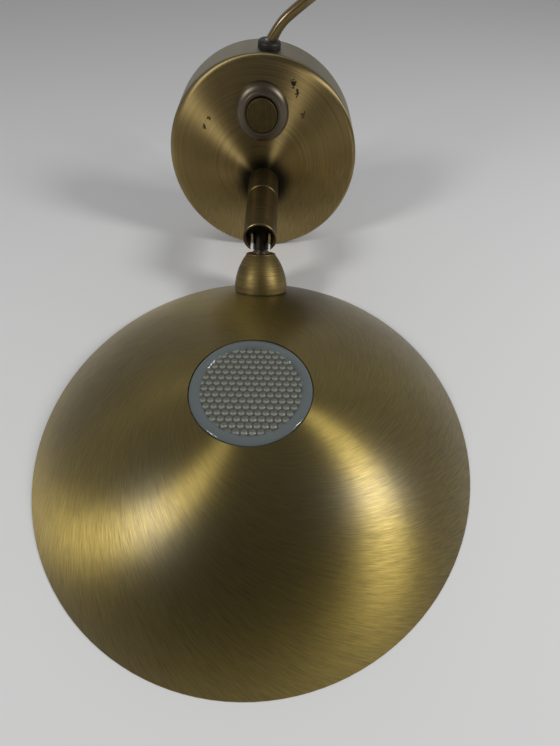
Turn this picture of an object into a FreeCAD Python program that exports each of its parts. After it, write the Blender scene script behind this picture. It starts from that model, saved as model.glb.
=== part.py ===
"""Wall-mounted display light: round canopy, short swivel arm, folding knuckle and a saucer head with one lens.

Millimetres, +Z up. The origin is the centre of the canopy's open back, on the wall plane y = 0.
The light faces -Y. The head is stored folded down, with its saucer level.
"""
import FreeCAD
import Part
import os
from math import asin, atan2, cos, degrees, hypot, pi, radians, sin, sqrt, tan

Vec = FreeCAD.Vector

# canopy, the round box on the wall
canopyR = 52.0
canopyDepth = 21.3
canopyWall = 1.4
canopyEdge = 2.4
tabTurn = 112.0  # side screws, in degrees either side of straight up
sideScrewOut = 6.5  # their distance from the wall
driverScrewX = 27.0
driverScrewY = -33.0
slotX = 30.0
slotR = 2.25
slotLength = 12.0

# arm, a short tube square to the canopy's face
armZ = -8.3
armR = 8.6
armBore = 7.4
seamOut = 39.5  # where the turning tube meets the fixed collar
seamGap = 0.3
armEnd = 74.2
forkStart = 50.0
forkScrewOut = 52.5
nippleR = 5.0
nippleBore = 3.4
runGap = 0.06  # radial clearance of a turning fit

# knuckle
pinOut = 63.2
pinR = 2.0
tongueR = 4.1
slotWide = 10.4
neckStart = 21.5  # up the bell's axis from its seat
stemR = 3.0  # hollow M6 stud
stemBore = 1.6
stemHole = 3.2

# saucer head, on its own axis, from the rim up
rimR = 100.0
mouthR = 25.1
domeTop = 36.6
slopeSpread = 14.0  # the slope grows by twice this from mouth to rim
domeWall = 1.0
seatR = 79.0  # the bell stands this far from the saucer's axis
bellR = 14.5
bellH = 19.8
bellWall = 1.2
bellRho = 30.5  # radius of its side's arc

# lens and light engine, heights over the rim plane
lensR = 24.7
lensTop = 36.9
flangeBottom = 34.5
boardTop = 20.0
boardR = 27.0
sinkTop = 18.4
sinkBottom = 15.9
sinkR = 44.0
finBottom = 5.2
finR = 26.0
studR = 40.0
studTurn = 30.0
pillarR = 36.0
pillarTurn = 90.0
boardScrewR = 20.0
coverR = 94.8
coverTop = 2.4
coverThick = 1.0

# push switch above the arm
switchZ = 28.3
bezelR = 13.6
buttonR = 7.75
buttonTop = 25.8

# flex
flexR = 2.2
grommetTurn = 4.0  # degrees clockwise of straight up
grommetOut = 10.7
grommetTop = 54.6
coilX = 8.0
coilY = 52.0
coilR = 24.0
coilThick = 13.2
tieWall = 1.0
plugY = 103.1
plugEnd = -1.0
plugZ = -45.1
plugLength = 50.0
reliefLength = 22.0
pinSpread = 9.5
clampY = 41.9
clampScrewX = (-4.0, 9.8)

# the saucer's profile is one arc, from slope a0 at radius 25 to slope a1 at the rim
mouthNominal = 25.0
domeChord = hypot(rimR - mouthNominal, domeTop)
slopeMiddle = atan2(domeTop, rimR - mouthNominal)
domeRho = domeChord / (2 * sin(radians(slopeSpread)))
arcR = mouthNominal - domeRho * sin(slopeMiddle - radians(slopeSpread))
arcZ = domeTop - domeRho * cos(slopeMiddle - radians(slopeSpread))

# the bell stands square to the saucer's skin, and its axis runs through the knuckle's pin
lean = asin((seatR - arcR) / domeRho)
seatZ = arcZ + domeRho * cos(lean)
floorZ = -canopyR
stemLength = (armZ - floorZ - seatZ) / cos(lean)
headY = -pinOut - stemLength * sin(lean) - seatR


# ---------- helpers

def skin(r, inset=0.0):
    """Height of the saucer's skin over the rim plane, or of a surface inset below it."""
    return arcZ + sqrt((domeRho - inset) ** 2 - (r - arcR) ** 2)


def skinRadius(z, inset=0.0):
    """Radius at which the skin has that height."""
    return arcR + sqrt((domeRho - inset) ** 2 - (z - arcZ) ** 2)


def outline(points):
    """A closed face in the XZ plane. An entry of four numbers is an arc: a middle point, then its end."""
    edges = []
    last = Vec(points[0][0], 0, points[0][1])
    for entry in points[1:] + [points[0]]:
        end = Vec(entry[-2], 0, entry[-1])
        if len(entry) == 4:
            edges.append(Part.Arc(last, Vec(entry[0], 0, entry[1]), end).toShape())
        elif (end - last).Length > 1e-6:
            edges.append(Part.LineSegment(last, end).toShape())
        last = end
    return Part.Face(Part.Wire(edges))


def lathe(points, x=0.0, y=0.0):
    """The outline turned about an axis along Z."""
    shape = outline(points).revolve(Vec(0, 0, 0), Vec(0, 0, 1), 360)
    shape.translate(Vec(x, y, 0))
    return shape


def rod(r, z0, z1, x=0.0, y=0.0):
    return Part.makeCylinder(r, z1 - z0, Vec(x, y, z0))


def ring(outer, inner, z0, z1, x=0.0, y=0.0):
    return rod(outer, z0, z1, x, y).cut(rod(inner, z0 - 1, z1 + 1, x, y))


def hexagon(across, z0, z1, x=0.0, y=0.0):
    """A hexagonal prism, given across its flats."""
    corner = across / sqrt(3)
    points = [Vec(x + corner * cos(k * pi / 3), y + corner * sin(k * pi / 3), z0) for k in range(7)]
    return Part.Face(Part.makePolygon(points)).extrude(Vec(0, 0, z1 - z0))


def block(x0, x1, y0, y1, z0, z1, edge=0.0):
    shape = Part.makeBox(x1 - x0, y1 - y0, z1 - z0, Vec(x0, y0, z0))
    return shape.makeFillet(edge, shape.Edges) if edge else shape


def screw(r, headR, headH, length):
    """A slotted pan-head screw along Z: its head stands on z = 0 and its shank runs down."""
    head = lathe([(0, 0), (headR, 0), (headR, headH * 0.45), (headR * 0.8, headH * 0.9, headR * 0.4, headH),
                  (0, headH)])
    groove = block(-headR, headR, -0.3, 0.3, headH * 0.55, headH + 1)
    return head.cut(groove).fuse(rod(r, -length, 0.1)).removeSplitter()


def placed(shape, x, y, z):
    shape = shape.copy()
    shape.translate(Vec(x, y, z))
    return shape


def turned(shape, degreesRound, axis=Vec(0, 0, 1)):
    shape = shape.copy()
    shape.rotate(Vec(0, 0, 0), axis, degreesRound)
    return shape


def joined(shapes):
    whole = shapes[0]
    for shape in shapes[1:]:
        whole = whole.fuse(shape)
    return whole.removeSplitter()


def radial(shape, turn, out):
    """A shape made along Z, laid to point away from the canopy's axis, turn degrees clockwise of up."""
    return placed(turned(turned(shape, -90, Vec(1, 0, 0)), -turn), 0, 0, out)


def onWall(shape):
    """From the canopy's frame (Z out from the wall, Y up) to the model's."""
    return turned(shape, 90, Vec(1, 0, 0))


def onArm(shape):
    """As onWall, for shapes made about the arm's axis."""
    return placed(onWall(shape), 0, 0, armZ)


def onHead(shape):
    return placed(shape, 0, headY, floorZ)


def onStem(shape):
    """From the bell's axis, where Z runs from its seat on the saucer to the knuckle, to the model."""
    return onHead(placed(turned(shape, -degrees(lean), Vec(1, 0, 0)), 0, seatR, seatZ))


def threeRound(shape, start=0.0):
    """Three copies about the saucer's axis."""
    return [turned(shape, start + 120 * k) for k in range(3)]


# ---------- canopy and what it holds, in the canopy's frame

def canopyShell():
    top = canopyDepth
    inner = canopyR - canopyWall
    small = canopyEdge - canopyWall
    part = 1 - cos(pi / 4)
    shell = lathe([
        (0, top), (canopyR - canopyEdge, top),
        (canopyR - canopyEdge * part, top - canopyEdge * part, canopyR, top - canopyEdge),
        (canopyR, 0), (inner, 0), (inner, top - canopyEdge),
        (inner - small * part, top - canopyWall - small * part, inner - small, top - canopyWall),
        (0, top - canopyWall),
    ])
    holes = [rod(nippleR + 0.1, 10, 30, 0, armZ), rod(6.2, 10, 30, 0, switchZ)]
    holes.append(radial(rod(4.0, 45, 56), grommetTurn, grommetOut))
    holes += [radial(rod(1.7, 45, 56), side * tabTurn, sideScrewOut) for side in (-1, 1)]
    return onWall(shell.cut(holes))


def wallPlate():
    """Round plate with a cable hole, two slots for the wall screws and two tabs for the canopy's side screws."""
    plate = rod(46, 0, 1.5).cut(rod(9, -1, 3))
    straight = slotLength / 2 - slotR
    for side in (-1, 1):
        x = side * slotX
        plate = plate.cut([block(x - straight, x + straight, -slotR, slotR, -1, 3),
                           rod(slotR, -1, 3, x - straight), rod(slotR, -1, 3, x + straight),
                           rod(1.5, -1, 3, side * driverScrewX, driverScrewY)])
    tab = block(-6, 6, 48.4, 50.0, 0, 10).fuse(block(-6, 6, 43, 50.0, 0, 1.5))
    tab = tab.cut(Part.makeCylinder(1.5, 20, Vec(0, 40, sideScrewOut), Vec(0, 1, 0)))
    return onWall(joined([plate] + [turned(tab, -side * tabTurn) for side in (-1, 1)]))


def canopyScrews():
    one = placed(screw(1.5, 2.8, 1.9, 5.5), 0, 0, canopyR)
    return [onWall(radial(one, side * tabTurn, sideScrewOut)) for side in (-1, 1)]


def ledDriver():
    body = block(-23, 23, -43, -21, 2.0, 15.5, 1.5)
    for side in (-1, 1):
        ear = block(min(side * 21, side * 31), max(side * 21, side * 31), -36.5, -29.5, 2.0, 4.0)
        body = body.fuse(ear).cut(rod(1.6, 0, 6, side * driverScrewX, driverScrewY))
    return onWall(body.removeSplitter())


def driverScrews():
    one = screw(1.5, 2.8, 1.9, 3.9)
    return [onWall(placed(one, side * driverScrewX, driverScrewY, 4.0)) for side in (-1, 1)]


def terminalBlock():
    body = block(-36, -16, 8, 20, 1.6, 13, 0.8)
    body = body.cut([rod(1.7, 5, 20, x, y) for x in (-31, -26, -21) for y in (11, 17)])
    return onWall(body)


def cordClamp(z0, z1):
    """One half of the clamp that holds the flex, at height z0 to z1 from the wall."""
    bar = block(-6.1, 11.9, clampY - 2.4, clampY + 2.4, z0, z1, 0.5)
    return onWall(bar.cut([rod(1.4, 0, 30, x, clampY) for x in clampScrewX]))


def clampScrews():
    return [onWall(placed(screw(1.4, 2.2, 1.5, 11), x, clampY, 15.4)) for x in clampScrewX]


def cordGrommet():
    """Rubber ring in the canopy's top, wide outside and inside, with the flex through it."""
    bore = flexR + 0.02
    collar = lathe([(bore, 51), (5.5, 51), (5.5, 53.2), (5.1, 54.2, 4.1, grommetTop), (bore, grommetTop)])
    collar = radial(collar, grommetTurn, grommetOut).cut(rod(canopyR, 0, canopyDepth))
    neck = radial(ring(3.95, bore, 48.6, 52.6), grommetTurn, grommetOut)
    lip = radial(ring(5.2, bore, 48.4, 50.2), grommetTurn, grommetOut)
    return onWall(joined([collar, neck, lip]))


def cordTail():
    return onWall(radial(rod(flexR, 38, grommetTop), grommetTurn, grommetOut))


def supplyLeads():
    """Two thin wires from the flex to the terminal block."""
    wires = []
    for lift in (-1.1, 1.1):
        route = [(2.6, 37.9, 10.7 + lift), (-5, 39.2, 10.6 + lift), (-12.5, 35, 10.2 + lift),
                 (-18, 28, 9.4 + lift), (-21, 20, 8.0 + lift)]
        wires.append(onWall(cordTube(route, 0.9)[0]))
    return wires


def lampLead():
    """The thin flex from the driver into the nipple."""
    route = [(14, -21, 8), (13.5, -13.5, 6.6), (8, -8.8, 5.4), (1.4, armZ, 7.2), (0, armZ, 14), (0.05, armZ, 24)]
    return onWall(cordTube(route, 1.1)[0])


# ---------- push switch, in the canopy's frame

def switchBody():
    body = joined([rod(8.2, 4, 17.3), rod(6.0, 17, 22.4)]).cut(rod(3.3, 14, 30))
    tags = [block(x - 1.2, x + 1.2, -0.4, 0.4, 1.7, 4.2) for x in (-4, 4)]
    return onWall(placed(joined([body] + tags), 0, switchZ, 0))


def switchNut():
    return onWall(placed(hexagon(16, 17.5, 19.8).cut(rod(6.05, 10, 30)), 0, switchZ, 0))


def switchBezel():
    return onWall(placed(lathe([
        (6.05, canopyDepth + 0.02), (bezelR, canopyDepth + 0.02), (bezelR, 21.7), (12.6, 23.4, 10.2, 24.7),
        (9.2, 25.02, 8.3, 24.8), (8.06, 24.5), (8.06, 22.7), (6.05, 22.7),
    ]), 0, switchZ, 0))


def switchButton():
    cap = lathe([(0, 24.15), (buttonR, 24.15), (buttonR, buttonTop - 0.4),
                 (buttonR - 0.12, buttonTop - 0.11, buttonR - 0.4, buttonTop), (0, buttonTop)])
    return onWall(placed(joined([cap, rod(3.0, 16.6, 24.5)]), 0, switchZ, 0))


# ---------- arm, about its own axis

def swivelNipple():
    return onArm(ring(nippleR, nippleBore, 13, 47.6))


def nippleWasher():
    return onArm(ring(9, nippleR + 0.05, 18.8, canopyDepth - canopyWall - 0.02))


def nippleNut():
    return onArm(hexagon(14, 15.2, 18.7).cut(rod(nippleR, 0, 30)))


def swivelCollar():
    return onArm(lathe([(armBore, canopyDepth + 0.02), (armR, canopyDepth + 0.02), (armR, seamOut - 0.3),
                        (armR - 0.3, seamOut), (nippleR, seamOut), (nippleR, 35), (armBore, 35)]))


def lockNut():
    return onArm(ring(6.8, nippleR, 45.1, 47.6))


def armTube():
    start = seamOut + seamGap
    tube = lathe([(armBore, start), (armR - 0.3, start), (armR, start + 0.3), (armR, armEnd - 0.35),
                  (armR - 0.35, armEnd), (armBore + 0.2, armEnd), (armBore, armEnd - 0.2)])
    half = slotWide / 2
    gap = block(-half, half, -armR - 1, 0, pinOut + 0.5, armEnd + 1)
    end = Part.makeCylinder(half, armR + 1, Vec(0, 0, pinOut + 0.5), Vec(0, -1, 0))
    screwHole = Part.makeCylinder(1.5, armR + 1, Vec(0, 0, forkScrewOut), Vec(0, -1, 0))
    return onArm(tube.cut([gap, end, screwHole]))


def armBush():
    """The tube's end plug, which turns on the nipple."""
    return onArm(ring(armBore, nippleR + runGap, seamOut + seamGap, 44.8))


def hingeFork():
    body = rod(armBore - 0.1, forkStart, 67.4).cut(rod(2.4, 40, 60))
    half = slotWide / 2
    body = body.cut(block(-half, half, -10, 10, 55.5, 70))
    body = body.cut(Part.makeCylinder(pinR, 30, Vec(-15, 0, pinOut), Vec(1, 0, 0)))
    return onArm(body.cut(Part.makeCylinder(1.5, 10, Vec(0, 0, forkScrewOut), Vec(0, -1, 0))))


def forkScrew():
    return onArm(Part.makeCylinder(1.5, 5.0, Vec(0, -3.2, forkScrewOut), Vec(0, -1, 0)))


def hingePin():
    return onArm(Part.makeCylinder(pinR, 14.0, Vec(-7.0, 0, pinOut), Vec(1, 0, 0)))


def frictionWashers():
    both = []
    for side in (-1, 1):
        start = Vec(side * (tongueR + 0.05), 0, pinOut)
        disc = Part.makeCylinder(tongueR, 1.0, start, Vec(side, 0, 0))
        both.append(onArm(disc.cut(Part.makeCylinder(pinR, 4, start - Vec(side, 0, 0), Vec(side, 0, 0)))))
    return both


def armLead():
    return onArm(rod(1.1, 48.2, 58.0))


# ---------- stem and bell, about the bell's axis

def hingeTongue():
    """Eye on the pin, round neck, and the hollow threaded stud that holds the bell and the saucer."""
    eye = Part.makeCylinder(tongueR, 2 * tongueR, Vec(-tongueR, 0, stemLength), Vec(1, 0, 0))
    neck = lathe([(0, neckStart), (tongueR - 0.25, neckStart), (tongueR, neckStart + 0.25), (tongueR, stemLength),
                  (0, stemLength)])
    body = joined([eye, neck, rod(stemR, -9, neckStart + 0.5)])
    body = body.cut(rod(stemBore, -10, stemLength - 7))
    hole = Part.makeCylinder(pinR + runGap, 20, Vec(-10, 0, stemLength), Vec(1, 0, 0))
    return onStem(body.cut(hole))


def tongueCollar():
    """Stepped ring between the neck and the bell; its upper step leaves a groove."""
    bore = stemR + 0.05
    return onStem(lathe([(bore, bellH + 0.02), (4.3, bellH + 0.02), (4.3, 20.6), (4.1, 20.9), (3.5, 20.9),
                         (3.5, neckStart - 0.02), (bore, neckStart - 0.02)]))


def bellCup():
    """Bell-shaped cover: its side is one arc, upright at the base, with a rounded shoulder to a flat top."""
    def side(h, inset=0.0):
        return bellR - bellRho + sqrt((bellRho - inset) ** 2 - h * h)

    shoulder = bellH - 0.9
    under = bellH - bellWall
    turnIn = side(shoulder) - 0.9
    return onStem(lathe([
        (bellR, 0.0), (side(shoulder / 2), shoulder / 2, side(shoulder), shoulder),
        (turnIn + 0.64, bellH - 0.2, turnIn, bellH), (stemHole, bellH), (stemHole, under),
        (side(under, bellWall), under), (side(under / 2, bellWall), under / 2, bellR - bellWall, 0.0),
    ]))


def bellGasket():
    """Thin black ring that beds the bell on the curved skin."""
    flat = ring(bellR - 0.35, bellR - 2.2, -1.4, -0.05)
    return onStem(flat).cut(onHead(saucerSolid(-0.02)))


def bellWasher():
    return onStem(ring(8.2, stemR + 0.05, -2.4, -1.3))


def bellNut():
    return onStem(hexagon(10, -7.2, -2.45).cut(rod(stemR, -20, 10)))


# ---------- saucer and light engine, about the saucer's axis

def saucerSolid(inset):
    """Everything under the skin, or under a surface inset below it."""
    r0 = mouthNominal
    r1 = skinRadius(0, inset)
    rMid = (r0 + r1) / 2
    return lathe([(0, 0), (r1, 0), (rMid, skin(rMid, inset), r0, skin(r0, inset)), (0, skin(r0, inset))])


def shadeSaucer():
    inner = skinRadius(0, domeWall)
    outMid = (mouthR + rimR) / 2
    inMid = (mouthR + inner) / 2
    shell = lathe([
        (mouthR, skin(mouthR)), (outMid, skin(outMid), skinRadius(0.4), 0.4), (rimR - 0.35, 0.0), (inner, 0.0),
        (inMid, skin(inMid, domeWall), mouthR, skin(mouthR, domeWall)),
    ])
    return onHead(shell).cut(onStem(rod(stemHole, -10, 10)))


def lensBody():
    """Clear lens in one piece: a flat flange and a cone that gathers the light, with a recess for the chip."""
    return onHead(lathe([
        (0, lensTop), (lensR - 0.5, lensTop), (lensR - 0.12, lensTop - 0.14, lensR, lensTop - 0.5),
        (lensR, flangeBottom), (22.0, flangeBottom), (19.5, 29.5, 8.2, 22.4), (7.0, 22.4), (6.6, 25.5), (0, 26.5),
    ]))


def lensHolder():
    return onHead(lathe([(22.4, 34.4), (boardR, 34.4), (boardR, boardTop), (24.4, boardTop), (24.4, 33.2),
                         (22.4, 33.2)]))


def ledBoard():
    board = rod(boardR, sinkTop + 0.02, boardTop - 0.02)
    return onHead(board.cut([turned(rod(1.5, 0, 30, boardScrewR), pillarTurn + 120 * k) for k in range(3)]))


def ledChip():
    return onHead(rod(6.0, boardTop, 21.0))


def boardScrews():
    one = placed(screw(1.5, 2.7, 1.7, 5), boardScrewR, 0, boardTop)
    return [onHead(shape) for shape in threeRound(one, pillarTurn)]


def heatSink():
    """Aluminium disc with straight fins below it."""
    sink = rod(sinkR, sinkBottom, sinkTop)
    fins = []
    for x in range(-20, 21, 5):
        half = sqrt(finR ** 2 - x * x)
        fins.append(block(x - 0.9, x + 0.9, -half, half, finBottom, sinkBottom + 0.1))
    sink = joined([sink] + fins)
    sink = sink.cut([turned(rod(2.1, 0, 30, studR), studTurn + 120 * k) for k in range(3)])
    sink = sink.cut([turned(rod(1.5, 14.5, 30, boardScrewR), pillarTurn + 120 * k) for k in range(3)])
    return onHead(sink)


def shadeStuds():
    """Three studs welded to the inside of the saucer, which carry the heat sink."""
    under = saucerSolid(domeWall + 0.02)
    return [onHead(shape.common(under)) for shape in threeRound(rod(2.0, 12.4, 40, studR), studTurn)]


def studNuts():
    one = hexagon(7, 12.9, sinkBottom - 0.05, studR).cut(rod(2.0, 0, 30, studR))
    return [onHead(shape) for shape in threeRound(one, studTurn)]


def coverPillars():
    one = hexagon(6, coverTop + 0.02, sinkBottom - 0.02, pillarR).cut(rod(1.4, 0, 9, pillarR))
    return [onHead(shape) for shape in threeRound(one, pillarTurn)]


def coverScrews():
    one = placed(turned(screw(1.4, 2.8, 1.1, 6.0), 180, Vec(1, 0, 0)), pillarR, 0, coverTop - coverThick)
    return [onHead(shape) for shape in threeRound(one, pillarTurn)]


def backCover():
    """Flat plate inside the rim, with a ring of vents under the heat sink."""
    plate = rod(coverR, coverTop - coverThick, coverTop)
    holes = [turned(rod(1.5, 0, 5, pillarR), pillarTurn + 120 * k) for k in range(3)]
    holes += [turned(rod(2.0, 0, 5, 52), 15 * k) for k in range(24)]
    return onHead(plate.cut(holes))


def headLead():
    """The thin flex from the stud to the board, over the edge of the heat sink."""
    route = [(0, seatR - 9 * sin(lean), seatZ - 9 * cos(lean)), (0, 71.6, 4.6), (0, 63, 5.6), (0, 54, 12.5),
             (0, 46, 19.6), (0, 37.5, 21.2), (0, 29.5, 19.8)]
    return onHead(cordTube(route, 1.0)[0])


# ---------- flex outside the canopy

flexRoute = [
    (4.2, -10.7, 54.3), (8.2, -10.8, 59.9), (14.5, -11.0, 64.6), (26.5, -10.8, 72.1), (38.4, -1.4, 77.6),
    (44.2, 13.7, 77.9), (41.4, 28.8, 72.7), (31.2, 38.1, 64.0), (17.8, 39.3, 55.5), (7.8, 39.2, 47.6),
    (3.0, 38.6, 38.5), (1.0, 37.6, 25.0), (-4.5, 35.0, 6.0), (-12.0, 31.5, -12.5), (-14.5, 29.2, -25.8),
    (-12.1, 28.2, -36.0), (-5.6, 28.0, -44.2), (3.9, 28.0, -48.8), (15.0, 28.6, -48.8),
]
tailRoute = [
    (32.0, 60.0, -48.8), (31.9, 84.2, -48.8), (24.9, 96.2, -48.2), (12.8, 103.0, -46.6), (plugEnd, plugY, plugZ),
]


def cordTube(points, r, note=None):
    """A tube along straight runs joined by tangent arcs, each as large as its two runs allow."""
    points = [Vec(*p) for p in points]
    edges = []
    radii = []
    last = points[0]
    for before, here, after in zip(points, points[1:], points[2:]):
        back = before - here
        ahead = after - here
        shorter = min(back.Length, ahead.Length)
        back.normalize()
        ahead.normalize()
        half = (pi - back.getAngle(ahead)) / 2
        trim = 0.45 * shorter
        bend = trim / tan(half)
        radii.append(bend)
        start = here + back * trim
        end = here + ahead * trim
        middle = back + ahead
        middle.normalize()
        middle = here + middle * (bend / cos(half) - bend)
        edges.append(Part.LineSegment(last, start).toShape())
        edges.append(Part.Arc(start, middle, end).toShape())
        last = end
    edges.append(Part.LineSegment(last, points[-1]).toShape())
    path = Part.Wire(edges)
    profile = Part.Wire([Part.makeCircle(r, points[0], points[1] - points[0])])
    tube = path.makePipeShell([profile], True, False)
    if note:
        share = tube.Volume / (pi * r * r * path.Length)
        print(f"{note}: {path.Length:.0f} mm, radii {', '.join(f'{x:.0f}' for x in radii)}, volume {share:.4f}")
    return tube, path.Length


def cordCoil():
    """The outer shape of the flex's tied turns, lying on its side of the tie just off the floor."""
    half = coilThick / 2
    low = floorZ + tieWall
    corner = 3.5
    part = corner * (1 - cos(pi / 4))
    r0 = coilR - half
    r1 = coilR + half
    z1 = low + coilThick
    return lathe([
        (r0 + corner, low), (r1 - corner, low), (r1 - part, low + part, r1, low + corner), (r1, z1 - corner),
        (r1 - part, z1 - part, r1 - corner, z1), (r0 + corner, z1),
        (r0 + part, z1 - part, r0, z1 - corner), (r0, low + corner), (r0 + part, low + part, r0 + corner, low),
    ], coilX, coilY)


def coilTie():
    """A strap round the bundle of turns."""
    half = coilThick / 2 + 0.05
    x = coilX - coilR
    low = floorZ + tieWall - 0.05
    outer = block(x - half - tieWall, x + half + tieWall, coilY - 2.5, coilY + 2.5,
                  floorZ, low + 2 * half + tieWall)
    return outer.cut(block(x - half, x + half, coilY - 3, coilY + 3, low, low + 2 * half))


def plugShape():
    """Flat two-pin plug lying on its side, with a tapered strain relief, along -X."""
    relief = Part.makeCone(3.2, 5.2, reliefLength, Vec(plugEnd, plugY, plugZ), Vec(-1, 0, 0))
    grip = []
    for back, wide, high in ((reliefLength - 2, 8.0, 5.6), (reliefLength + 9, 13.0, 6.2), (plugLength, 17.5, 6.7)):
        x = plugEnd - back
        corners = [(x, plugY - wide, plugZ - high), (x, plugY + wide, plugZ - high),
                   (x, plugY + wide, plugZ + high), (x, plugY - wide, plugZ + high)]
        grip.append(Part.makePolygon([Vec(*c) for c in corners + corners[:1]]))
    body = Part.makeLoft(grip, True, True)
    return joined([body, relief])


def plugPins():
    face = plugEnd - plugLength
    return [Part.makeCylinder(2.0, 19.0, Vec(face, plugY + side * pinSpread, plugZ), Vec(-1, 0, 0))
            for side in (-1, 1)]


def build():
    nodes = {
        "canopy_shell": canopyShell(), "wall_plate": wallPlate(), "canopy_side_screws": canopyScrews(),
        "led_driver": ledDriver(), "driver_screws": driverScrews(), "terminal_block": terminalBlock(),
        "cord_clamp_base": cordClamp(1.6, 8.45), "cord_clamp_bar": cordClamp(12.95, 15.4),
        "clamp_screws": clampScrews(), "cord_grommet": cordGrommet(), "cord_tail": cordTail(),
        "supply_leads": supplyLeads(), "lamp_lead": lampLead(),
        "switch_body": switchBody(), "switch_nut": switchNut(), "switch_bezel": switchBezel(),
        "switch_button": switchButton(),
        "swivel_nipple": swivelNipple(), "nipple_washer": nippleWasher(), "nipple_nut": nippleNut(),
        "swivel_collar": swivelCollar(), "swivel_lock_nut": lockNut(),
        "arm_tube": armTube(), "arm_bush": armBush(), "hinge_fork": hingeFork(), "fork_screw": forkScrew(),
        "hinge_pin": hingePin(), "friction_washers": frictionWashers(), "arm_lead": armLead(),
        "hinge_tongue": hingeTongue(), "tongue_collar": tongueCollar(), "bell_cup": bellCup(),
        "bell_gasket": bellGasket(), "bell_washer": bellWasher(), "bell_nut": bellNut(),
        "shade_saucer": shadeSaucer(), "lens": lensBody(), "lens_holder": lensHolder(),
        "led_board": ledBoard(), "led_chip": ledChip(), "board_screws": boardScrews(),
        "heat_sink": heatSink(), "shade_studs": shadeStuds(), "stud_nuts": studNuts(),
        "cover_pillars": coverPillars(), "cover_screws": coverScrews(), "back_cover": backCover(),
        "head_lead": headLead(),
        "mains_cord": cordTube(flexRoute, flexR, "mains cord")[0], "cord_coil": cordCoil(),
        "coil_tie": coilTie(), "plug_cord": cordTube(tailRoute, flexR, "cord to the plug")[0],
        "plug_body": plugShape(), "plug_pins": plugPins(),
    }
    os.makedirs("parts", exist_ok=True)
    for name, shape in nodes.items():
        if isinstance(shape, list):
            shape = Part.makeCompound(shape)
        shape.exportStep(f"parts/{name}.step")
    return nodes


nodes = build()
print(len(nodes), "nodes, lean", round(degrees(lean), 1), "head at y", round(headY, 1),
      "stem", round(stemLength, 2), "seat height", round(seatZ, 2))
for name, shape in nodes.items():
    for solid in shape if isinstance(shape, list) else [shape]:
        if not solid.isValid() or len(solid.Solids) != 1:
            print("check", name, solid.isValid(), len(solid.Solids))
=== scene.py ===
import bpy
import bmesh
from math import copysign, cos, pi, radians, sin, sqrt
from mathutils import Matrix, Vector


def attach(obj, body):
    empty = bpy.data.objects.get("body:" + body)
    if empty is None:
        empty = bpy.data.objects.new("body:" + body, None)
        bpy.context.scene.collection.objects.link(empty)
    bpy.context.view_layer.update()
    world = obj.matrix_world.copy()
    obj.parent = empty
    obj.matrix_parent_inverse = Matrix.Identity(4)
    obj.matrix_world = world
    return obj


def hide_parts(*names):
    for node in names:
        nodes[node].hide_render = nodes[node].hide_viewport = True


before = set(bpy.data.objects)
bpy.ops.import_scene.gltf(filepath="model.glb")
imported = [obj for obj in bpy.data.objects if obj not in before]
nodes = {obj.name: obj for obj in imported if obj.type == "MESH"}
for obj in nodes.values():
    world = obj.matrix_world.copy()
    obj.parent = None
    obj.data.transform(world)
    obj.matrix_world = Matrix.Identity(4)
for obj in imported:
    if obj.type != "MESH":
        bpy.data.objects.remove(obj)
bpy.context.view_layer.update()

# where the light's main parts are, in metres
place = {
    "canopyFront": -0.0213,
    "armZ": -0.0083,
    "switchZ": 0.0283,
    "headY": -0.1597,
    "floorZ": -0.052,
    "bellLean": radians(31.4),
    "bellSeat": (0.0, -0.0807, -0.0369),
}


# small helpers

def colour(text):  # sRGB hex to linear
    parts = [int(text[i:i + 2], 16) / 255 for i in (0, 2, 4)]
    return tuple(p / 12.92 if p <= 0.04045 else ((p + 0.055) / 1.055) ** 2.4 for p in parts) + (1.0,)


def addNode(material, kind, inputs=(), **settings):
    node = material.node_tree.nodes.new(kind)
    for name, value in settings.items():
        setattr(node, name, value)
    for key, value in dict(inputs).items():
        if isinstance(value, bpy.types.NodeSocket):
            material.node_tree.links.new(value, node.inputs[key])
        else:
            node.inputs[key].default_value = value
    return node


def newMaterial(name, sockets):
    material = bpy.data.materials.new(name)
    material.use_nodes = True
    shader = material.node_tree.nodes["Principled BSDF"]
    for key, value in sockets.items():
        shader.inputs[key].default_value = value
    return material, shader


def connect(material, source, target):
    material.node_tree.links.new(source, target)


def centred(material, where=(0.0, 0.0, 0.0), turn=(0.0, 0.0, 0.0)):  # object coordinates about a point
    coordinates = addNode(material, "ShaderNodeTexCoord")
    moved = addNode(material, "ShaderNodeVectorMath", {0: coordinates.outputs["Object"], 1: where},
                    operation="SUBTRACT")
    return addNode(material, "ShaderNodeVectorRotate", {"Vector": moved.outputs[0], "Rotation": turn},
                   rotation_type="EULER_XYZ").outputs[0]


def newPiece(name, mesh, material, body):
    data = bpy.data.meshes.new(name)
    mesh.to_mesh(data)
    mesh.free()
    piece = bpy.data.objects.new(name, data)
    bpy.context.collection.objects.link(piece)
    data.materials.append(material)
    data.polygons.foreach_set("use_smooth", [True] * len(data.polygons))
    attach(piece, body)
    return piece


def ovalRing(mesh, where, wide, high, square, segments=32):  # an oval in the YZ plane, squarer as square falls from 1
    made = bmesh.ops.create_circle(mesh, segments=segments, radius=1.0, cap_ends=False)
    for v in made["verts"]:
        a, b = v.co.x, v.co.y
        v.co = (0.0, wide * copysign(abs(a) ** square, a), high * copysign(abs(b) ** square, b))
    bmesh.ops.translate(mesh, verts=made["verts"], vec=where)
    return list({e for v in made["verts"] for e in v.link_edges})


def joinRings(mesh, rings):
    for a, b in zip(rings, rings[1:]):
        bmesh.ops.bridge_loops(mesh, edges=a + b)


# camera

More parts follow.
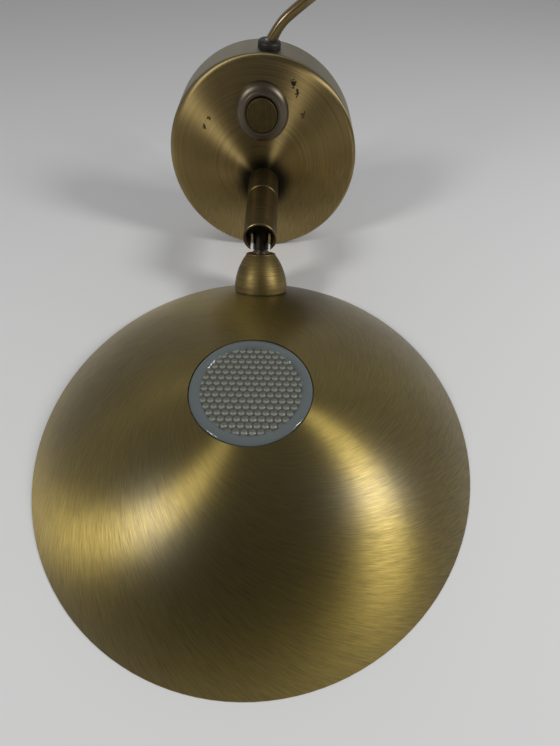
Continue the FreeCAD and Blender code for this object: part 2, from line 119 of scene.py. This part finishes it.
camera = {
    "place": (0.0111, -0.2400, 0.1135),
    "down": radians(55.68),
    "right": radians(0.25),
    "roll": radians(1.27),
    "lens": 18.34,
    "sensor": 36.0,
}
view = bpy.data.cameras.new("camera")
view.lens = camera["lens"]
view.sensor_width = camera["sensor"]
view.clip_start = 0.01
viewer = bpy.data.objects.new("camera", view)
bpy.context.collection.objects.link(viewer)
viewer.matrix_world = (Matrix.Translation(camera["place"]) @ Matrix.Rotation(-camera["right"], 4, "Z")
                       @ Matrix.Rotation(pi / 2 - camera["down"], 4, "X")
                       @ Matrix.Rotation(camera["roll"], 4, "Z"))
bpy.context.scene.camera = viewer
print("camera set")


# flex: gold transparent sheath over two cores, 1.7 m, tied up behind the canopy

flex = {
    "diameter": 0.0044,
    "length": 1.7,
    "rise": [(4.2, -10.7, 54.3), (8.2, -10.8, 59.9), (14.5, -11.0, 64.6), (26.5, -10.8, 72.1), (38.4, -1.4, 77.6),
             (44.2, 13.7, 77.9), (41.4, 28.8, 72.7), (31.2, 38.1, 64.0), (17.8, 39.3, 55.5), (7.8, 39.2, 47.6),
             (3.0, 38.6, 38.5), (1.0, 37.6, 25.0), (-4.5, 35.0, 6.0), (-12.0, 31.5, -12.5), (-14.5, 28.6, -25.8),
             (-12.1, 26.2, -36.0), (-5.6, 24.3, -44.2), (1.0, 23.8, -48.8)],
    "coilCentre": (8.0, 52.0),
    "coilSlots": [(28.4, -48.8), (24.0, -48.8), (19.6, -48.8), (19.6, -44.4), (19.6, -40.0), (24.0, -40.0),
                  (24.0, -44.4), (28.4, -44.4), (28.4, -40.0), (32.3, -42.2)],
    "turns": 9.25,
    "stepsATurn": 16,
    "changeover": 0.7,  # how much of a turn is laid before it moves over to the next slot
    "tail": [(37.5, 62.0, -44.0), (34.4, 75.0, -47.8), (31.0, 85.5, -48.8), (24.9, 96.2, -48.2), (12.8, 103.0, -46.6),
             (-1.0, 103.1, -45.1)],
}


def coilPoint(turn):
    slot = min(int(turn), len(flex["coilSlots"]) - 1)
    # each turn moves over to the next slot in its last part
    change = max(0.0, turn - slot - flex["changeover"]) / (1 - flex["changeover"])
    r0, z0 = flex["coilSlots"][slot]
    r1, z1 = flex["coilSlots"][min(slot + 1, len(flex["coilSlots"]) - 1)]
    r = r0 + (r1 - r0) * change
    angle = turn * 2 * pi - pi / 2
    return (flex["coilCentre"][0] + r * cos(angle), flex["coilCentre"][1] + r * sin(angle), z0 + (z1 - z0) * change)


steps = int(flex["turns"] * flex["stepsATurn"])
line = flex["rise"] + [coilPoint(k / flex["stepsATurn"]) for k in range(steps + 1)] + flex["tail"]
curve = bpy.data.curves.new("flexCord", "CURVE")
curve.dimensions = "3D"
spline = curve.splines.new("NURBS")
spline.points.add(len(line) - 1)
for point, (x, y, z) in zip(spline.points, line):
    point.co = (x / 1000, y / 1000, z / 1000, 1.0)
    point.radius = flex["diameter"] / 2  # the box round a curve grows by this, so the bevel is 1 and this sizes it
spline.order_u = 3
spline.use_endpoint_u = True
spline.resolution_u = 6
curve.bevel_depth = 1.0
curve.bevel_resolution = 5
curve.use_fill_caps = True
flexCord = bpy.data.objects.new("flexCord", curve)
bpy.context.collection.objects.link(flexCord)
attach(flexCord, "base")
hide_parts("mains_cord", "cord_coil", "plug_cord")
print("flex laid")


# finishes

def swirlLines(material, spot, finish):
    # lines that spiral out about Z, tighter near the middle; dash is their length across the radius, in metres
    slope, start = finish["widen"]
    flat = addNode(material, "ShaderNodeVectorMath", {0: spot, 1: (1.0, 1.0, 0.0)}, operation="MULTIPLY")
    reach = addNode(material, "ShaderNodeVectorMath", {0: flat.outputs[0]}, operation="LENGTH").outputs["Value"]
    widen = addNode(material, "ShaderNodeMath", {0: reach, 1: slope, 2: start}, operation="MULTIPLY_ADD").outputs[0]
    ratio = addNode(material, "ShaderNodeMath", {0: reach, 1: widen}, operation="DIVIDE").outputs[0]
    log = addNode(material, "ShaderNodeMath", {0: ratio, 1: 2.718282}, operation="LOGARITHM").outputs[0]
    angle = addNode(material, "ShaderNodeMath", {0: log, 1: finish["wind"]}, operation="MULTIPLY").outputs[0]
    turned = addNode(material, "ShaderNodeVectorRotate", {"Vector": flat.outputs[0], "Angle": angle},
                     rotation_type="Z_AXIS").outputs[0]
    unit = addNode(material, "ShaderNodeVectorMath", {0: turned}, operation="NORMALIZE").outputs[0]
    circle = addNode(material, "ShaderNodeVectorMath", {0: unit, "Scale": finish["lines"]},
                     operation="SCALE").outputs[0]
    lift = addNode(material, "ShaderNodeMath", {0: reach, 1: 1 / finish["dash"]}, operation="MULTIPLY").outputs[0]
    up = addNode(material, "ShaderNodeCombineXYZ", {"Z": lift}).outputs[0]
    spread = addNode(material, "ShaderNodeVectorMath", {0: circle, 1: up}, operation="ADD").outputs[0]
    return addNode(material, "ShaderNodeTexNoise", {"Vector": spread, "Scale": 1.0, "Detail": 4.0,
                                                    "Roughness": 0.65}).outputs["Fac"]


def turnedLines(material, spot, fine, along):
    # rings about Z, as lathe turning leaves them; fine is lines a metre, along is how soon one fades round the part
    squeezed = addNode(material, "ShaderNodeVectorMath", {0: spot, 1: (along, along, fine)}, operation="MULTIPLY")
    return addNode(material, "ShaderNodeTexNoise", {"Vector": squeezed.outputs[0], "Scale": 1.0, "Detail": 3.0,
                                                    "Roughness": 0.6}).outputs["Fac"]


brushing = {"ramp": (0.25, 0.75), "polish": (0.3, 0.7)}  # how much of the noise goes from dark to light, dull to bright


def brush(material, shader, lines, spot, finish):
    # bronzed dark in the grooves and relieved to gold on their crests, cloudy over a few centimetres
    cloud = addNode(material, "ShaderNodeTexNoise", {"Vector": spot, "Scale": finish["cloud"], "Detail": 3.0})
    level = addNode(material, "ShaderNodeMath", {0: cloud.outputs["Fac"], 1: finish["cloudy"],
                                                 2: -finish["cloudy"] / 2}, operation="MULTIPLY_ADD").outputs[0]
    amount = addNode(material, "ShaderNodeMath", {0: lines, 1: level}, operation="ADD").outputs[0]
    tint = addNode(material, "ShaderNodeValToRGB", {"Fac": amount})
    for element, position, key in zip(tint.color_ramp.elements, brushing["ramp"], ("dark", "light")):
        element.position = position
        element.color = colour(finish[key])
    rough = addNode(material, "ShaderNodeMapRange", {"Value": amount, "From Min": brushing["polish"][0],
                    "From Max": brushing["polish"][1], "To Min": finish["rough"][1],
                    "To Max": finish["rough"][0]}).outputs[0]
    connect(material, rough, shader.inputs["Roughness"])
    bump = addNode(material, "ShaderNodeBump", {"Height": lines, "Distance": finish["groove"]}).outputs[0]
    connect(material, bump, shader.inputs["Normal"])
    return tint.outputs["Color"]


saucerFinish = {
    "dark": "65582e", "light": "9b8746", "rough": (0.38, 0.46), "anisotropic": 0.89, "rotation": (0.181, 0.151),
    "reach": (0.025, 0.100), "lacquer": 0.6, "lacquerRough": 0.34,
    "lines": 130.0, "dash": 0.004, "groove": 0.00001, "cloud": 30.0, "cloudy": 0.25,
    "widen": (3.3, 0.39), "wind": -2.57,  # how the spiral opens out with the radius, and how fast it turns
}
# brass sheet, brushed in a spiral, bronzed and lacquered: the light runs across the lines in two long bands, and the
# clear lacquer adds a cool sheen
brushedSaucer, shader = newMaterial("brushedBronzedBrassSwirl", {
    "Metallic": 1.0, "Anisotropic": saucerFinish["anisotropic"],
    "Coat Weight": saucerFinish["lacquer"], "Coat Roughness": saucerFinish["lacquerRough"]})
spot = centred(brushedSaucer, (0.0, place["headY"], 0.0))
# the strokes steepen towards the rim
flat = addNode(brushedSaucer, "ShaderNodeVectorMath", {0: spot, 1: (1.0, 1.0, 0.0)}, operation="MULTIPLY").outputs[0]
reach = addNode(brushedSaucer, "ShaderNodeVectorMath", {0: flat}, operation="LENGTH").outputs["Value"]
steeper = addNode(brushedSaucer, "ShaderNodeMapRange", {
    "Value": reach, "From Min": saucerFinish["reach"][0], "From Max": saucerFinish["reach"][1],
    "To Min": saucerFinish["rotation"][0], "To Max": saucerFinish["rotation"][1]}).outputs[0]
connect(brushedSaucer, steeper, shader.inputs["Anisotropic Rotation"])
lines = swirlLines(brushedSaucer, spot, saucerFinish)
connect(brushedSaucer, brush(brushedSaucer, shader, lines, spot, saucerFinish), shader.inputs["Base Color"])
tangent = addNode(brushedSaucer, "ShaderNodeTangent", direction_type="RADIAL", axis="Z").outputs[0]
connect(brushedSaucer, tangent, shader.inputs["Tangent"])

canopyFinish = {
    "dark": "87754c", "light": "bca46a", "side": "8d825c", "rough": (0.47, 0.55), "anisotropic": 0.97,
    "root": (0.0, 0.0, -0.0083),
    "sweep": (-1.31, 1.745, -1.69, 1.518),  # from and to this turn about the arm, the strokes lean from and to this
    "lacquer": 0.4, "lacquerRough": 0.40, "lineGap": 0.00034, "dash": 0.008, "groove": 0.00001, "cloud": 40.0,
    "cloudy": 0.3, "paintedShadeRing": (0.0100, 0.0190, 0.06),  # painted shade round the arm's root, standing in for the shade and dark reflection of the arm on the face: inner and outer radius, least light
    "sideDepth": (-0.0209, -0.0195),  # the brushed face ends and the satin side starts between these
    "markColour": "2e2218", "markGrain": 900.0, "markRag": 3.2, "markEdge": (2.0, 2.3),
    # patina marks: x and z on the face, half width, half height
    "marks": [(0.0156, 0.0412, 0.0017, 0.0032), (0.0174, 0.0372, 0.0014, 0.0026), (0.0209, 0.0275, 0.0014, 0.0019),
              (-0.0275, 0.0253, 0.0015, 0.0014), (-0.0305, 0.0210, 0.0010, 0.0022)],
}
# brass, bronzed and lacquered: the face is brushed in a fan about the arm, the side is satin
brushedCanopy, shader = newMaterial("brushedBronzedBrassCanopy", {
    "Metallic": 1.0, "Anisotropic": canopyFinish["anisotropic"], "Coat Weight": canopyFinish["lacquer"],
    "Coat Roughness": canopyFinish["lacquerRough"]})
plain = centred(brushedCanopy)
# the strokes fan out about the arm: upright below it, falling on the right and rising on the left
fromRoot = addNode(brushedCanopy, "ShaderNodeSeparateXYZ", {"Vector": centred(brushedCanopy, canopyFinish["root"])})
leftward = addNode(brushedCanopy, "ShaderNodeMath", {0: fromRoot.outputs["X"], 1: -1.0}, operation="MULTIPLY")
turn = addNode(brushedCanopy, "ShaderNodeMath", {0: leftward.outputs[0], 1: fromRoot.outputs["Z"]},
               operation="ARCTAN2").outputs[0]
rightTurn, leftTurn, rightRise, leftRise = canopyFinish["sweep"]
angle = addNode(brushedCanopy, "ShaderNodeMapRange", {"Value": turn, "From Min": rightTurn, "From Max": leftTurn,
                "To Min": rightRise, "To Max": leftRise}).outputs[0]
laid = addNode(brushedCanopy, "ShaderNodeVectorRotate", {"Vector": plain, "Angle": angle}, rotation_type="Y_AXIS")
both = addNode(brushedCanopy, "ShaderNodeVectorMath", {0: laid.outputs[0], 1: (
    1 / canopyFinish["dash"], 0.0, 1 / canopyFinish["lineGap"])}, operation="MULTIPLY").outputs[0]
strokes = addNode(brushedCanopy, "ShaderNodeCombineXYZ", {
    "X": addNode(brushedCanopy, "ShaderNodeMath", {
        0: addNode(brushedCanopy, "ShaderNodeMath", {0: angle}, operation="SINE").outputs[0], 1: -1.0},
        operation="MULTIPLY").outputs[0],
    "Z": addNode(brushedCanopy, "ShaderNodeMath", {0: angle}, operation="COSINE").outputs[0]}).outputs[0]
lines = addNode(brushedCanopy, "ShaderNodeTexNoise", {"Vector": both, "Scale": 1.0, "Detail": 4.0,
                                                      "Roughness": 0.6}).outputs["Fac"]
gold = brush(brushedCanopy, shader, lines, plain, canopyFinish)
depth = addNode(brushedCanopy, "ShaderNodeSeparateXYZ", {"Vector": plain}).outputs["Y"]
onSide = addNode(brushedCanopy, "ShaderNodeMapRange", {"Value": depth, "From Min": canopyFinish["sideDepth"][0],
                 "From Max": canopyFinish["sideDepth"][1]}).outputs[0]
sided = addNode(brushedCanopy, "ShaderNodeMix", {0: onSide, 6: gold, 7: colour(canopyFinish["side"])},
                data_type="RGBA").outputs[2]
ragged = addNode(brushedCanopy, "ShaderNodeTexNoise", {"Vector": plain, "Scale": canopyFinish["markGrain"],
                                                       "Detail": 3.0})
nearest = None
for x, z, wide, high in canopyFinish["marks"]:
    away = addNode(brushedCanopy, "ShaderNodeVectorMath", {0: plain, 1: (x, place["canopyFront"], z)},
                   operation="SUBTRACT").outputs[0]
    sized = addNode(brushedCanopy, "ShaderNodeVectorMath", {0: away, 1: (1 / wide, 0.0, 1 / high)},
                    operation="MULTIPLY").outputs[0]
    far = addNode(brushedCanopy, "ShaderNodeVectorMath", {0: sized}, operation="LENGTH").outputs["Value"]
    nearest = far if nearest is None else addNode(brushedCanopy, "ShaderNodeMath", {0: nearest, 1: far},
                                                  operation="MINIMUM").outputs[0]
edge = addNode(brushedCanopy, "ShaderNodeMath", {0: ragged.outputs["Fac"], 1: canopyFinish["markRag"], 2: nearest},
               operation="MULTIPLY_ADD").outputs[0]
marked = addNode(brushedCanopy, "ShaderNodeMapRange", {"Value": edge, "From Min": canopyFinish["markEdge"][0],
                 "From Max": canopyFinish["markEdge"][1], "To Min": 1.0, "To Max": 0.0}).outputs[0]
# painted shade: the face's colour darkens smoothly towards the arm's root
near, out, least = canopyFinish["paintedShadeRing"]
toArm = addNode(brushedCanopy, "ShaderNodeVectorMath", {0: centred(brushedCanopy, (0.0, 0.0, place["armZ"])),
                1: (1.0, 0.0, 1.0)}, operation="MULTIPLY").outputs[0]
reach = addNode(brushedCanopy, "ShaderNodeVectorMath", {0: toArm}, operation="LENGTH").outputs["Value"]
shade = addNode(brushedCanopy, "ShaderNodeMapRange", {"Value": reach, "From Min": near, "From Max": out,
                "To Min": least, "To Max": 1.0}, interpolation_type="SMOOTHSTEP").outputs[0]
sided = addNode(brushedCanopy, "ShaderNodeVectorMath", {0: sided, "Scale": shade}, operation="SCALE").outputs[0]
spotted = addNode(brushedCanopy, "ShaderNodeMix", {0: marked, 6: sided, 7: colour(canopyFinish["markColour"])},
                  data_type="RGBA").outputs[2]
connect(brushedCanopy, spotted, shader.inputs["Base Color"])
connect(brushedCanopy, strokes, shader.inputs["Tangent"])


def turnedMetal(name, where, turn, finish, fine=4500.0, along=60.0):
    # brass turned on a lathe and bronzed: fine rings round the part
    material, shader = newMaterial(name, {"Metallic": 1.0})
    spot = centred(material, where, turn)
    lines = turnedLines(material, spot, fine, along)
    connect(material, brush(material, shader, lines, spot, finish), shader.inputs["Base Color"])
    return material


def grainy(name, base, roughness, metallic=0.0, grain=900.0, depth=0.00001, spread=0.12, coat=0.0):
    # a plain finish with fine grain: moulded plastic, rubber, plating or paint
    material, shader = newMaterial(name, {"Metallic": metallic, "Coat Weight": coat})
    spot = centred(material)
    cloud = addNode(material, "ShaderNodeTexNoise", {"Vector": spot, "Scale": grain, "Detail": 3.0}).outputs["Fac"]
    wide = addNode(material, "ShaderNodeTexNoise", {"Vector": spot, "Scale": 60.0, "Detail": 2.0}).outputs["Fac"]
    level = addNode(material, "ShaderNodeMapRange", {"Value": wide, "To Min": roughness - spread / 2,
                                                     "To Max": roughness + spread / 2}).outputs[0]
    connect(material, level, shader.inputs["Roughness"])
    shade = addNode(material, "ShaderNodeMapRange", {"Value": wide, "To Min": 0.86, "To Max": 1.14}).outputs[0]
    tint = addNode(material, "ShaderNodeVectorMath", {0: colour(base)[:3], "Scale": shade}, operation="SCALE")
    connect(material, tint.outputs[0], shader.inputs["Base Color"])
    bump = addNode(material, "ShaderNodeBump", {"Height": cloud, "Distance": depth}).outputs[0]
    connect(material, bump, shader.inputs["Normal"])
    return material


alongArm = (pi / 2, 0.0, 0.0)
alongBell = (place["bellLean"], 0.0, 0.0)
tubeFinish = {"dark": "5a4e38", "light": "8a7953", "rough": (0.38, 0.5), "groove": 0.000008, "cloud": 90.0,
              "cloudy": 0.5}
bellFinish = {"dark": "5c4f32", "light": "8f7c4d", "rough": (0.44, 0.54), "groove": 0.00001, "cloud": 120.0,
              "cloudy": 0.6}
buttonFinish = {"dark": "4a3f28", "light": "6f6140", "rough": (0.46, 0.56), "groove": 0.000008, "cloud": 200.0,
                "cloudy": 0.4}
tubeBronze = turnedMetal("brushedBronzeTube", (0.0, 0.0, place["armZ"]), alongArm, tubeFinish)
bellBrass = turnedMetal("brushedBrassBell", place["bellSeat"], alongBell, bellFinish)
buttonBronze = turnedMetal("brushedBronzeButton", (0.0, 0.0, place["switchZ"]), (0.0, pi / 2, 0.1), buttonFinish)
darkBronze = grainy("smoothDarkBronze", "6c6355", 0.42, 1.0, 500.0, 0.00001, 0.1)
screwBronze = grainy("bronzedScrew", "6b5a35", 0.4, 1.0)
backPaint = grainy("satinBronzePaint", "3f3524", 0.45, 0.0, 1500.0, 0.00001)
zincSteel = grainy("zincPlatedSteel", "b9bbbd", 0.35, 1.0)
blackSteel = grainy("blackenedSteel", "3a342b", 0.42, 0.9)
blackNylon = grainy("blackMouldedNylon", "1b1b1b", 0.5)
milkyNylon = grainy("milkyMouldedNylon", "d9d8cf", 0.45)
whitePlastic = grainy("whiteMouldedPlastic", "dedddA", 0.45)
whiteMask = grainy("whiteSolderMask", "e6e6e3", 0.35)
phosphor = grainy("siliconeOverPhosphor", "d8b23c", 0.3)
bareAluminium = grainy("bareAluminium", "c3c5c8", 0.4, 1.0)
blackRubber = grainy("brownBlackRubber", "1d1913", 0.5)
wirePlastic = grainy("wireInsulation", "cfcec8", 0.4)
strapWeave = grainy("wovenHookStrap", "1a1a1a", 0.85, 0.0, 2200.0, 0.00015)
plugPlastic = grainy("brownMouldedPlug", "2c2418", 0.42)
nickel = grainy("nickelPlate", "c9c6c0", 0.2, 1.0)
goldSheath = grainy("goldTransparentSheath", "6f5c34", 0.25, 0.35, 300.0, 0.00001, 0.08, 0.5)

finishes = {
    "shade_saucer": brushedSaucer, "canopy_shell": brushedCanopy,
    "arm_tube": tubeBronze, "swivel_collar": tubeBronze, "bell_cup": bellBrass, "switch_button": buttonBronze,
    "switch_bezel": darkBronze, "tongue_collar": darkBronze,
    "canopy_side_screws": screwBronze, "cover_screws": screwBronze, "back_cover": backPaint,
    "wall_plate": zincSteel, "driver_screws": zincSteel, "clamp_screws": zincSteel, "switch_nut": zincSteel,
    "swivel_nipple": zincSteel, "nipple_washer": zincSteel, "nipple_nut": zincSteel, "swivel_lock_nut": zincSteel,
    "hinge_pin": zincSteel, "bell_washer": zincSteel, "bell_nut": zincSteel, "board_screws": zincSteel,
    "shade_studs": zincSteel, "stud_nuts": zincSteel, "cover_pillars": zincSteel,
    "hinge_fork": blackSteel, "fork_screw": blackSteel, "hinge_tongue": blackSteel,
    "cord_clamp_base": blackNylon, "cord_clamp_bar": blackNylon, "switch_body": blackNylon, "arm_bush": blackNylon,
    "friction_washers": blackNylon, "terminal_block": milkyNylon, "led_driver": whitePlastic,
    "lens_holder": whitePlastic, "led_board": whiteMask, "led_chip": phosphor, "heat_sink": bareAluminium,
    "cord_grommet": blackRubber, "bell_gasket": blackRubber,
    "supply_leads": wirePlastic, "lamp_lead": wirePlastic, "arm_lead": wirePlastic, "head_lead": wirePlastic,
    "cord_tail": goldSheath, "plug_pins": nickel,
}
for name, material in finishes.items():
    for k in range(len(nodes[name].data.materials)):
        nodes[name].data.materials[k] = material
flexCord.data.materials.append(goldSheath)
print("finishes given to", len(finishes), "nodes")


# lens: clear acrylic, its face a honeycomb of small bumps inside a smooth ring

lens = {
    "top": 0.0369, "faceR": 0.0203, "across": 0.00312, "depth": 0.0009, "cuts": 3, "cutters": 60,
    # crescent and crescentSide: where on each bump the painted highlight goes
    "edge": "4e5046", "crown": "75776c", "border": 0.4, "crescent": (0.28, 0.72), "crescentSide": -0.1,
    # radius and height over the rim plane, down the flange and the cone to the chip's recess
    "sides": [(0.0206, 0.0367), (0.0212, 0.0371), (0.0222, 0.0373), (0.0233, 0.0372), (0.0242, 0.0369),
              (0.0246, 0.0366), (0.0247, 0.0362), (0.0247, 0.0345),
              (0.0220, 0.0345), (0.0206, 0.0318), (0.0180, 0.0282), (0.0140, 0.0253), (0.0082, 0.0224),
              (0.0070, 0.0224), (0.0066, 0.0255), (0.0035, 0.0262)],
}
# acrylic: tinted and glossy on the ring, frosted by its fine moulded texture on the honeycomb
clearAcrylic, shader = newMaterial("clearAcrylic", {"Base Color": colour("7d8685"), "Roughness": 0.07, "IOR": 1.49,
                                                    "Transmission Weight": 0.35})
frosted, shader = newMaterial("frostedAcrylic", {"Roughness": 0.16, "IOR": 1.49, "Transmission Weight": 0.25})
# painted shade: the honeycomb's colour darkens from lens["crown"] on each bump's crown to lens["edge"] down in the
# grooves between bumps
height = addNode(frosted, "ShaderNodeSeparateXYZ", {
    "Vector": centred(frosted, (0.0, place["headY"], place["floorZ"] + lens["top"]))}).outputs["Z"]
grooveShade = addNode(frosted, "ShaderNodeMapRange", {"Value": height, "From Min": -lens["depth"],
                "From Max": -lens["border"] * lens["depth"]}, interpolation_type="SMOOTHSTEP").outputs[0]
grooveShadedColour = addNode(frosted, "ShaderNodeMix", {0: grooveShade, 6: colour(lens["edge"]), 7: colour(lens["crown"])},
               data_type="RGBA").outputs[2]
connect(frosted, grooveShadedColour, shader.inputs["Base Color"])
# a paler copy of the same acrylic: a painted highlight along the bumps' near edges
paintedHighlightAcrylic, shader = newMaterial("frostedAcrylicPaintedHighlight", {"Base Color": colour("8b8e83"), "Roughness": 0.2, "IOR": 1.49})
mesh = bmesh.new()
corner = lens["across"] / sqrt(3)
reach = int(lens["faceR"] / lens["across"]) + 2
bmesh.ops.create_circle(mesh, segments=6, radius=corner, cap_ends=True, cap_tris=True)
bmesh.ops.subdivide_edges(mesh, edges=mesh.edges, cuts=lens["cuts"], use_grid_fill=True)
for v in mesh.verts:
    v.co.z = lens["top"] - lens["depth"] * (v.co.x ** 2 + v.co.y ** 2) / corner ** 2
for face in mesh.faces:  # painted highlight: the faces along each bump's near edge take the paler copy
    middle = face.calc_center_median()
    inner, outer = lens["crescent"]
    lit = inner * corner < middle.xy.length < outer * corner and middle.y < lens["crescentSide"] * corner
    face.material_index = 2 if lit else 1
cell = mesh.verts[:] + mesh.edges[:] + mesh.faces[:]
for row in range(-reach, reach + 1):
    for column in range(-reach, reach + 1):
        x = lens["across"] * (column + 0.5 * (row % 2))
        y = corner * 1.5 * row
        if (row or column) and sqrt(x * x + y * y) < lens["faceR"] + lens["across"]:
            made = bmesh.ops.duplicate(mesh, geom=cell)["geom"]
            moved = [g for g in made if isinstance(g, bmesh.types.BMVert)]
            bmesh.ops.translate(mesh, verts=moved, vec=(x, y, 0.0))
bmesh.ops.remove_doubles(mesh, verts=mesh.verts, dist=0.00002)
for k in range(lens["cutters"]):  # trimmed round, so the ring starts on one clean edge
    out = Vector((cos(2 * pi * k / lens["cutters"]), sin(2 * pi * k / lens["cutters"]), 0.0))
    bmesh.ops.bisect_plane(mesh, geom=mesh.verts[:] + mesh.edges[:] + mesh.faces[:], dist=0.000001,
                           plane_co=out * lens["faceR"], plane_no=out, clear_outer=True)
bmesh.ops.remove_doubles(mesh, verts=mesh.verts, dist=0.00001)
bmesh.ops.dissolve_degenerate(mesh, edges=mesh.edges, dist=0.00001)
rim = [e for e in mesh.edges if e.is_boundary]
for r, z in lens["sides"]:
    made = bmesh.ops.extrude_edge_only(mesh, edges=rim)["geom"]
    for face in [g for g in made if isinstance(g, bmesh.types.BMFace)]:
        face.material_index = 0
    for v in [g for g in made if isinstance(g, bmesh.types.BMVert)]:
        out = sqrt(v.co.x ** 2 + v.co.y ** 2)
        v.co = (v.co.x * r / out, v.co.y * r / out, z)
    rim = [g for g in made if isinstance(g, bmesh.types.BMEdge)]
bmesh.ops.contextual_create(mesh, geom=rim)
bmesh.ops.translate(mesh, verts=mesh.verts, vec=(0.0, place["headY"], place["floorZ"]))
bmesh.ops.recalc_face_normals(mesh, faces=mesh.faces)
lensFace = newPiece("lensFace", mesh, clearAcrylic, "head")
lensFace.data.materials.append(frosted)
lensFace.data.materials.append(paintedHighlightAcrylic)
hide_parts("lens")
print("lens made:", len(lensFace.data.polygons), "faces")


# plug: flat two-pin plug, moulded, with a ribbed strain relief

plug = {
    "place": (-0.0010, 0.1031, -0.0451),
    # how far back, half width, half height, squareness
    "rings": [(0.0, 0.0032, 0.0032, 1.0), (0.0026, 0.0034, 0.0034, 1.0), (0.0030, 0.0027, 0.0027, 1.0),
              (0.0048, 0.0027, 0.0027, 1.0), (0.0052, 0.0038, 0.0038, 1.0), (0.0076, 0.0040, 0.0040, 1.0),
              (0.0080, 0.0030, 0.0030, 1.0), (0.0098, 0.0030, 0.0030, 1.0), (0.0102, 0.0043, 0.0043, 1.0),
              (0.0126, 0.0045, 0.0045, 1.0), (0.0130, 0.0034, 0.0034, 1.0), (0.0148, 0.0034, 0.0034, 1.0),
              (0.0152, 0.0048, 0.0048, 1.0), (0.0190, 0.0050, 0.0050, 1.0), (0.0205, 0.0078, 0.0055, 0.8),
              (0.0250, 0.0102, 0.0058, 0.6), (0.0310, 0.0130, 0.0062, 0.5), (0.0400, 0.0152, 0.0065, 0.42),
              (0.0470, 0.0170, 0.0067, 0.38), (0.0490, 0.0174, 0.0067, 0.36), (0.0498, 0.0171, 0.0064, 0.36),
              (0.0500, 0.0166, 0.0060, 0.36)],
}
mesh = bmesh.new()
rings = [ovalRing(mesh, (plug["place"][0] - back, plug["place"][1], plug["place"][2]), wide, high, square)
         for back, wide, high, square in plug["rings"]]
joinRings(mesh, rings)
for ends in (rings[0], rings[-1]):
    bmesh.ops.contextual_create(mesh, geom=ends)
bmesh.ops.recalc_face_normals(mesh, faces=mesh.faces)
plugGrip = newPiece("plugGrip", mesh, plugPlastic, "base")
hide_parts("plug_body")
print("plug made")


# strap round the coil

strap = {"centre": (-0.0160, 0.0520, -0.0444), "half": 0.00665, "thick": 0.0009, "wide": 0.0050}
mesh = bmesh.new()
rings = []
for x, grow in ((-0.5, 0.0), (-0.5, 1.0), (0.5, 1.0), (0.5, 0.0), (-0.5, 0.0)):
    size = strap["half"] + grow * strap["thick"]
    rings.append(ovalRing(mesh, (x * strap["wide"], 0.0, 0.0), size, size, 0.45, 48))
joinRings(mesh, rings)
bmesh.ops.remove_doubles(mesh, verts=mesh.verts, dist=0.00001)
bmesh.ops.rotate(mesh, verts=mesh.verts, cent=(0.0, 0.0, 0.0), matrix=Matrix.Rotation(pi / 2, 3, "Z"))
bmesh.ops.translate(mesh, verts=mesh.verts, vec=strap["centre"])
bmesh.ops.recalc_face_normals(mesh, faces=mesh.faces)
coilStrap = newPiece("coilStrap", mesh, strapWeave, "base")
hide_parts("coil_tie")
print("strap made")


# floor and light

studio = {"floor": 12.0, "front": 0.04, "back": 0.45, "fade": (-0.6, 0.9), "floorColour": colour("f2f2f1")}
bpy.ops.mesh.primitive_plane_add(size=studio["floor"], location=(0.0, 0.0, place["floorZ"] - 0.00005))
floor = bpy.context.object
floor.name = "floor"
paper, shader = newMaterial("paleFloor", {"Base Color": studio["floorColour"], "Roughness": 0.85})
floor.data.materials.append(paper)

# the room is light behind the canopy and overhead, and darker towards the viewer
world = bpy.data.worlds.new("studio")
bpy.context.scene.world = world
world.use_nodes = True
sky = addNode(world, "ShaderNodeSeparateXYZ", {"Vector": addNode(world, "ShaderNodeTexCoord").outputs["Generated"]})
bright = addNode(world, "ShaderNodeMapRange", {"Value": sky.outputs["Y"], "From Min": studio["fade"][0],
                 "From Max": studio["fade"][1], "To Min": studio["front"], "To Max": studio["back"]}).outputs[0]
ground = world.node_tree.nodes["Background"]
ground.inputs["Color"].default_value = (1.0, 1.0, 1.02, 1.0)
world.node_tree.links.new(bright, ground.inputs["Strength"])

lamps = {  # direction from the saucer in degrees round from +Y and up, distance, width, power
    "leftLamp": (-120.0, 39.0, 0.9, 0.22, 2.55),
    "rightLamp": (103.0, 37.0, 0.9, 0.22, 3.1),
}
for name, (about, up, far, wide, power) in lamps.items():
    data = bpy.data.lights.new(name, "AREA")
    data.shape = "DISK"
    data.size = wide
    data.energy = power
    lamp = bpy.data.objects.new(name, data)
    bpy.context.collection.objects.link(lamp)
    out = Vector((sin(radians(about)) * cos(radians(up)), cos(radians(about)) * cos(radians(up)), sin(radians(up))))
    lamp.location = Vector((0.0, place["headY"], place["floorZ"])) + out * far
    lamp.rotation_euler = out.to_track_quat("Z", "Y").to_euler()
bpy.context.scene.view_settings.view_transform = "Standard"
print("lights set")
